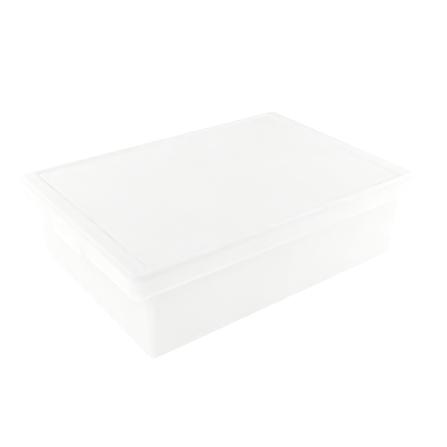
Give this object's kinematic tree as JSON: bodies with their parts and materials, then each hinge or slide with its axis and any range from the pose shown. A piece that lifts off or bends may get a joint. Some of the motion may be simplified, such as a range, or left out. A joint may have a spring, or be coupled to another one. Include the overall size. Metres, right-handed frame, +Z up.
{
  "type": "stacking storage box",
  "caption": "Low rectangular stacking storage box in natural translucent plastic, with a down-turned rim and a lift-off lid that has a recessed panel.",
  "frame": {"origin": "centre of the underside of the base", "axes": "+X along the length, +Y across the width, +Z up through the lid"},
  "size_m": [0.5998, 0.402, 0.166],
  "materials": {
    "tub_plastic": "natural translucent polypropylene, satin",
    "lid_plastic": "natural translucent polypropylene, fine matt texture"
  },
  "bodies": {
    "tub": {"tub": "tub_plastic"},
    "lid": {"lid": "lid_plastic"}
  },
  "joints": [
    {"name": "lid_lift", "type": "slide", "parent": "tub", "child": "lid", "axis": [0, 0, 1], "range_m": [0, 0.25]}
  ]
}
